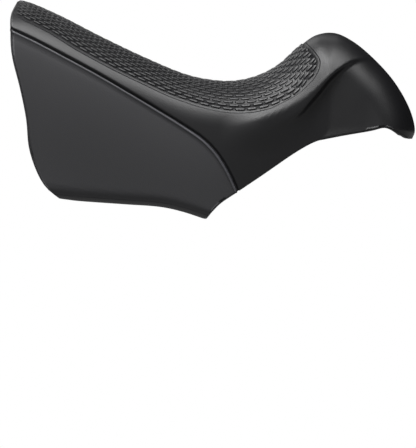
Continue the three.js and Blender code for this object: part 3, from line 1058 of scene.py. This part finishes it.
class Material:
    """Builds a procedural rubber material.

    Args:
        finish: what the compound looks like.
    """

    grain_detail: dict[str, float] = {"Detail": 3.0, "Roughness": 0.6}

    def __init__(self, finish: Finish) -> None:
        """Start an empty node tree."""
        self.finish = finish
        self.material = bpy.data.materials.new(finish.name)
        self.material.use_nodes = True
        self.tree = self.material.node_tree
        self.tree.nodes.clear()

    def build(self) -> bpy.types.Material:
        """The finished material: grain and steps as bumps on one rubber shader.

        Returns:
            The material.
        """
        f = self.finish
        place = add_node(self.tree, "ShaderNodeTexCoord")
        grain = add_node(
            self.tree,
            "ShaderNodeTexNoise",
            {"Scale": 1 / (f.grain_mm * MM), **self.grain_detail},
            {"Vector": place.outputs["Object"]},
        )
        bump = add_node(
            self.tree,
            "ShaderNodeBump",
            {"Strength": 1.0, "Distance": f.grain_depth_mm * MM},
            {"Height": grain.outputs["Fac"]},
        )
        for step in f.steps:
            distance = add_node(self.tree, "ShaderNodeAttribute", attribute_name=step.layer)
            end_mm = step.start_mm + step.width_mm
            ramp = add_node(
                self.tree,
                "ShaderNodeMapRange",
                {"From Min": step.start_mm, "From Max": end_mm, "To Min": 0.0, "To Max": 1.0},
                {"Value": distance.outputs["Fac"]},
                interpolation_type="SMOOTHSTEP",
            )
            bump = add_node(
                self.tree,
                "ShaderNodeBump",
                {"Strength": 1.0, "Distance": step.rise_mm * MM},
                {"Height": ramp.outputs["Result"], "Normal": bump.outputs["Normal"]},
            )
        shader = add_node(
            self.tree,
            "ShaderNodeBsdfPrincipled",
            {
                "Base Color": linear(f.colour),
                "Roughness": f.roughness,
                "Specular IOR Level": f.specular,
            },
            {"Normal": bump.outputs["Normal"]},
        )
        add_node(self.tree, "ShaderNodeOutputMaterial", links={"Surface": shader.outputs["BSDF"]})
        return self.material


# The field of pads is cut in by a fine step along its border, which shows as a thin dark line, and dished
# behind it, which turns the floor between its last rows up to the light
FIELD_STEP = Step("border_mm", -0.75, 0.35, -0.14)
FIELD_DISH = Step("border_mm", -0.4, 2.6, -0.7)
# A doubled hem runs along the strap and shows as a fine line
HEM_STEP = Step("strap_mm", 1.2, 0.3, -0.35)

# The grains below are drawn coarser than real ones, which are too fine to show in the render.
# Skin: black elastomer, moulded in a finely etched tool. It gives a satin black with broad soft highlights,
# whose edges the grain breaks up a little.
SKIN_RUBBER = Finish(
    "satin_black_moulded_rubber", "101012", roughness=0.42, grain_mm=0.35, grain_depth_mm=0.02,
    steps=(FIELD_STEP, FIELD_DISH),
)
# Side panels: a softer dark grey compound, moulded beside the skin in a blasted tool. It gives a flat, even
# grey with hardly a highlight, which parts the panels from the skin.
PANEL_RUBBER = Finish(
    "matte_grey_moulded_rubber", "323234", roughness=0.7, grain_mm=0.25, grain_depth_mm=0.03, specular=0.4,
    steps=(HEM_STEP,),
)
# Pads: the skin's elastomer, from pockets that are cut smoother than the tool round them. It gives small
# glints on the pads' tops and ends and dark lines below them.
PAD_RUBBER = Finish("satin_black_grip_pads", "151517", roughness=0.36, grain_mm=0.3, grain_depth_mm=0.01)
# Lip: the panel's compound where it was pressed against the tool's smooth parting edge, which makes it
# glossier.
# Its colour is painted lighter than the panel's, as a highlight on the lip's lit upper edge. This gives a thin
# light line below the dark groove.
LIP_RUBBER_PAINTED_HIGHLIGHT = Finish("grey_lip_rubber_painted_highlight", "4a4a4e", roughness=0.36, grain_mm=0.3, grain_depth_mm=0.005)


@dataclass(frozen=True)
class Softbox:
    """One soft studio lamp that looks at the object.

    Args:
        name: name of the lamp.
        turn_deg: how far round it hangs, 0 on the camera's side and positive to the right.
        rise_deg: how high it hangs above the floor.
        power: its power in W.
        size: its sides in m.
        distance: how far away it hangs, in m.
        aim: the point it looks at, in m.
    """

    name: str
    turn_deg: float
    rise_deg: float
    power: float
    size: tuple[float, float] = (0.4, 0.4)
    distance: float = 0.9
    aim: tuple[float, float, float] = (0.0, 0.0, 0.03)

    def build(self) -> bpy.types.Object:
        """The lamp, turned to its aim and linked to the scene.

        Returns:
            The lamp.
        """
        data = bpy.data.lights.new(self.name, "AREA")
        data.shape = "RECTANGLE"
        data.size, data.size_y = self.size
        data.energy = self.power
        turn, rise = math.radians(self.turn_deg), math.radians(self.rise_deg)
        level = math.cos(rise)
        away = Vector((math.sin(turn) * level, -math.cos(turn) * level, math.sin(rise)))
        lamp = bpy.data.objects.new(self.name, data)
        lamp.location = Vector(self.aim) + away * self.distance
        lamp.rotation_euler = (-away).to_track_quat("-Z", "Y").to_euler()
        bpy.context.scene.collection.objects.link(lamp)
        return lamp


@dataclass
class Studio:
    """Pale floor, white surroundings, soft lamps and the camera of the photograph.

    Args:
        lamps: the softboxes.
        ambient: how strongly the surroundings light the object.
        bounce: how strongly the floor lights it from below.
        backdrop: how bright the surroundings and the floor show to the camera.
        floor_reach: how far the floor goes each way, in m.
        distance: how far away the camera stands, in m.
        frame_mm: height of the picture at the object.
        turn_deg: how far the camera is turned about its line of sight.
        centre_mm: x and z in the middle of the picture.
        eye_height_mm: how high the camera stands.
        sensor_mm: height of the camera's sensor.
        near_m: nearest distance that the camera shows.
    """

    lamps: tuple[Softbox, ...]
    ambient: float = 0.005
    bounce: float = 0.34
    backdrop: float = 1.0
    floor_reach: float = 6.0
    distance: float = 4.0
    frame_mm: float = 127.68
    turn_deg: float = 7.9
    centre_mm: tuple[float, float] = (4.39, -1.37)
    eye_height_mm: float = 30.0
    sensor_mm: float = 36.0
    near_m: float = 0.05

    def lit_and_seen(self, tree: bpy.types.NodeTree, kind: str, out: str, strength: float) -> None:
        """White light that the camera sees as the backdrop and the object gets at another strength.

        Args:
            tree: the world's or the floor's node tree.
            kind: node type of the light.
            out: node type of the output.
            strength: how strongly it lights the object.
        """
        tree.nodes.clear()
        path = add_node(tree, "ShaderNodeLightPath")
        lit, seen = (
            add_node(tree, kind, {"Color": linear("ffffff"), "Strength": power})
            for power in (strength, self.backdrop)
        )
        links = {0: path.outputs["Is Camera Ray"], 1: lit.outputs[0], 2: seen.outputs[0]}
        both = add_node(tree, "ShaderNodeMixShader", links=links)
        add_node(tree, out, links={0: both.outputs[0]})

    def world(self) -> None:
        """White to the camera and a dimmer soft light on the object."""
        world = bpy.data.worlds.new("studio")
        world.use_nodes = True
        self.lit_and_seen(world.node_tree, "ShaderNodeBackground", "ShaderNodeOutputWorld", self.ambient)
        bpy.context.scene.world = world

    def tones(self) -> None:
        """Show each tone as it is lit, so that the surroundings at strength 1 are plain white."""
        bpy.context.scene.view_settings.view_transform = "Standard"

    def floor(self) -> bpy.types.Object:
        """Pale floor that shows as bright as the backdrop and throws a little light up.

        Returns:
            The floor.
        """
        data = bpy.data.meshes.new("floor")
        reach = self.floor_reach
        corners = [(-reach, -reach, 0), (reach, -reach, 0), (reach, reach, 0), (-reach, reach, 0)]
        data.from_pydata(corners, [], [(0, 1, 2, 3)])
        material = bpy.data.materials.new("pale_floor")
        material.use_nodes = True
        self.lit_and_seen(material.node_tree, "ShaderNodeEmission", "ShaderNodeOutputMaterial", self.bounce)
        data.materials.append(material)
        floor = bpy.data.objects.new("floor", data)
        bpy.context.scene.collection.objects.link(floor)
        return floor

    def camera(self) -> bpy.types.Object:
        """Long-lens camera square to the hood's side, turned as the photograph is.

        Returns:
            The camera.
        """
        data = bpy.data.cameras.new("camera")
        data.sensor_fit = "VERTICAL"
        data.sensor_height = self.sensor_mm
        turn = math.radians(self.turn_deg)
        eye = Vector((self.centre_mm[0] * MM, -self.distance, self.eye_height_mm * MM))
        target = Vector((self.centre_mm[0] * MM, 0.0, self.centre_mm[1] * MM))
        forward = (target - eye).normalized()
        data.lens = data.sensor_height * (target - eye).length / (self.frame_mm * MM)
        level = forward.cross(Vector((0, 0, 1))).normalized()
        raised = level.cross(forward)
        right = level * math.cos(turn) + raised * math.sin(turn)
        up = raised * math.cos(turn) - level * math.sin(turn)
        data.clip_start = self.near_m
        camera = bpy.data.objects.new("camera", data)
        camera.matrix_world = Matrix.Translation(eye) @ Matrix((right, up, -forward)).transposed().to_4x4()
        bpy.context.scene.collection.objects.link(camera)
        bpy.context.scene.camera = camera
        return camera

    def build(self) -> None:
        """Everything around the object."""
        self.world()
        self.tones()
        self.floor()
        for lamp in self.lamps:
            lamp.build()
        self.camera()


# The long soft highlight on the saddle and the hump comes from the left, its fill from the front and right
LAMPS = (
    Softbox("left_softbox", -52, 50, 9.6, (0.75, 0.4)),
    Softbox("low_left_softbox", -33, 15, 2.2),
    Softbox("front_softbox", 8, 56, 4.2, (0.6, 0.45)),
    Softbox("right_softbox", 35, 62, 3.4, (0.5, 0.45)),
    Softbox("back_softbox", 180, 60, 0.5),
    Softbox("back_left_softbox", -140, 35, 1.4, (0.6, 0.5)),
)


def main() -> None:
    """Build the object, then the studio, and report each piece."""
    logging.basicConfig(level=logging.INFO, format="%(name)s: %(message)s")
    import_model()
    form = Form()
    skin = Material(SKIN_RUBBER).build()
    panel = Material(PANEL_RUBBER).build()
    pads = Material(PAD_RUBBER).build()
    # The lip's material: the panel's compound with a painted highlight along the lip
    lip = Material(LIP_RUBBER_PAINTED_HIGHLIGHT).build()

    sleeve = Sleeve(form).build().to_object("sleeve", [skin, panel, lip], form.land_depth)
    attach(sleeve, "root")
    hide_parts("hood")
    LOG.info("sleeve: %d faces", len(sleeve.data.polygons))

    grip = GripPads(form).build().to_object("grip_pads", [pads], form.land_depth)
    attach(grip, "root")
    LOG.info("grip pads: %d faces", len(grip.data.polygons))

    Studio(LAMPS).build()


if __name__ == "__main__":
    main()
